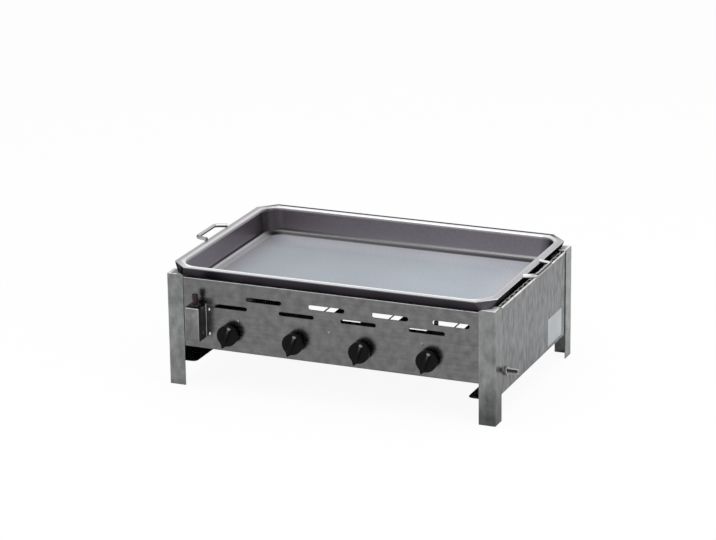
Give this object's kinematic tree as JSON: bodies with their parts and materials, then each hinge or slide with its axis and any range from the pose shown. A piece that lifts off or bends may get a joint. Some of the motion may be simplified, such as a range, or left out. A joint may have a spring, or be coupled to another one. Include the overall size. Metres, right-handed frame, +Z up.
{
  "type": "table-top gas grill",
  "caption": "Table-top gas grill: sheet-steel stand on angle legs, tube burners with push-and-turn safety valves, spark igniter and a shallow lift-off pan with two handles.",
  "frame": {"origin": "on the table, under the middle of the grill's bounding box", "axes": "+X along the grill to the gas inlet, +Y from the knobs to the rear panel, +Z up"},
  "size_m": [0.854, 0.561, 0.295],
  "materials": {
    "leg_steel": "brushed lengthwise, bare",
    "panel_steel": "brushed along the panel, slightly wavy",
    "shield_steel": "dulled by heat",
    "screw_steel": "bright zinc",
    "pan_steel": "satin, pressed sheet",
    "handle_steel": "bright drawn rod",
    "manifold_steel": "dull grey",
    "fitting_brass": "machined",
    "valve_alloy": "die-cast",
    "stem_steel": "turned",
    "spring_steel": "drawn wire",
    "knob_plastic": "moulded, satin black",
    "burner_steel": "dark, heat-tinted",
    "thermocouple_copper": "copper capillary",
    "electrode_ceramic": "brown glaze",
    "lead_rubber": "black silicone sleeve",
    "igniter_sheet": "bent sheet",
    "igniter_plastic": "black",
    "button_plastic": "dark red",
    "plate_aluminium": "blank, satin"
  },
  "bodies": {
    "stand": {"leg_front_left": "leg_steel", "leg_front_right": "leg_steel", "leg_rear_left": "leg_steel", "leg_rear_right": "leg_steel", "front_panel": "panel_steel", "rear_panel": "panel_steel", "side_panel_left": "panel_steel", "side_panel_right": "panel_steel", "valve_shield": "shield_steel", "shield_screws": "screw_steel", "manifold_screw": "screw_steel", "valve_screws": "screw_steel", "igniter_rivets": "screw_steel", "burner_nuts": "screw_steel", "gas_manifold": "manifold_steel", "manifold_cap": "manifold_steel", "gas_inlet": "fitting_brass", "inlet_locknut": "fitting_brass", "injectors": "fitting_brass", "valve_body_1": "valve_alloy", "valve_body_2": "valve_alloy", "valve_body_3": "valve_alloy", "valve_body_4": "valve_alloy", "igniter_spring": "spring_steel", "burner_1": "burner_steel", "burner_2": "burner_steel", "burner_3": "burner_steel", "burner_4": "burner_steel", "thermocouple_1": "thermocouple_copper", "thermocouple_2": "thermocouple_copper", "thermocouple_3": "thermocouple_copper", "thermocouple_4": "thermocouple_copper", "spark_electrodes": "electrode_ceramic", "ignition_leads": "lead_rubber", "igniter_box": "igniter_sheet", "igniter_barrel": "igniter_plastic", "rating_plate": "plate_aluminium"},
    "pan": {"pan": "pan_steel", "pan_handle_left": "handle_steel", "pan_handle_right": "handle_steel"},
    "igniter_button": {"igniter_button": "button_plastic"},
    "valve_plug_1": {"valve_plug_1": "fitting_brass", "valve_spring_1": "spring_steel"},
    "knob_1": {"knob_1": "knob_plastic", "valve_stem_1": "stem_steel"},
    "valve_plug_2": {"valve_plug_2": "fitting_brass", "valve_spring_2": "spring_steel"},
    "knob_2": {"knob_2": "knob_plastic", "valve_stem_2": "stem_steel"},
    "valve_plug_3": {"valve_plug_3": "fitting_brass", "valve_spring_3": "spring_steel"},
    "knob_3": {"knob_3": "knob_plastic", "valve_stem_3": "stem_steel"},
    "valve_plug_4": {"valve_plug_4": "fitting_brass", "valve_spring_4": "spring_steel"},
    "knob_4": {"knob_4": "knob_plastic", "valve_stem_4": "stem_steel"}
  },
  "joints": [
    {"name": "pan_lift", "type": "slide", "parent": "stand", "child": "pan", "axis": [0, 0, 1], "range_m": [0, 0.15]},
    {"name": "knob_turn_1", "type": "hinge", "parent": "stand", "child": "valve_plug_1", "pos_m": [-0.243, -0.2, 0.14], "axis": [0, -1, 0], "range_deg": [0, 210]},
    {"name": "knob_push_1", "type": "slide", "parent": "valve_plug_1", "child": "knob_1", "axis": [0, 1, 0], "range_m": [0, 0.004], "stiffness_N_per_m": 2000, "springref_m": -0.002, "deforming": ["valve_spring_1"]},
    {"name": "knob_turn_2", "type": "hinge", "parent": "stand", "child": "valve_plug_2", "pos_m": [-0.081, -0.2, 0.14], "axis": [0, -1, 0], "range_deg": [0, 210]},
    {"name": "knob_push_2", "type": "slide", "parent": "valve_plug_2", "child": "knob_2", "axis": [0, 1, 0], "range_m": [0, 0.004], "stiffness_N_per_m": 2000, "springref_m": -0.002, "deforming": ["valve_spring_2"]},
    {"name": "knob_turn_3", "type": "hinge", "parent": "stand", "child": "valve_plug_3", "pos_m": [0.081, -0.2, 0.14], "axis": [0, -1, 0], "range_deg": [0, 210]},
    {"name": "knob_push_3", "type": "slide", "parent": "valve_plug_3", "child": "knob_3", "axis": [0, 1, 0], "range_m": [0, 0.004], "stiffness_N_per_m": 2000, "springref_m": -0.002, "deforming": ["valve_spring_3"]},
    {"name": "knob_turn_4", "type": "hinge", "parent": "stand", "child": "valve_plug_4", "pos_m": [0.243, -0.2, 0.14], "axis": [0, -1, 0], "range_deg": [0, 210]},
    {"name": "knob_push_4", "type": "slide", "parent": "valve_plug_4", "child": "knob_4", "axis": [0, 1, 0], "range_m": [0, 0.004], "stiffness_N_per_m": 2000, "springref_m": -0.002, "deforming": ["valve_spring_4"]},
    {"name": "igniter_press", "type": "slide", "parent": "stand", "child": "igniter_button", "axis": [0, 0, -1], "range_m": [0, 0.008], "stiffness_N_per_m": 1500, "springref_m": -0.003, "deforming": ["igniter_spring"]}
  ]
}
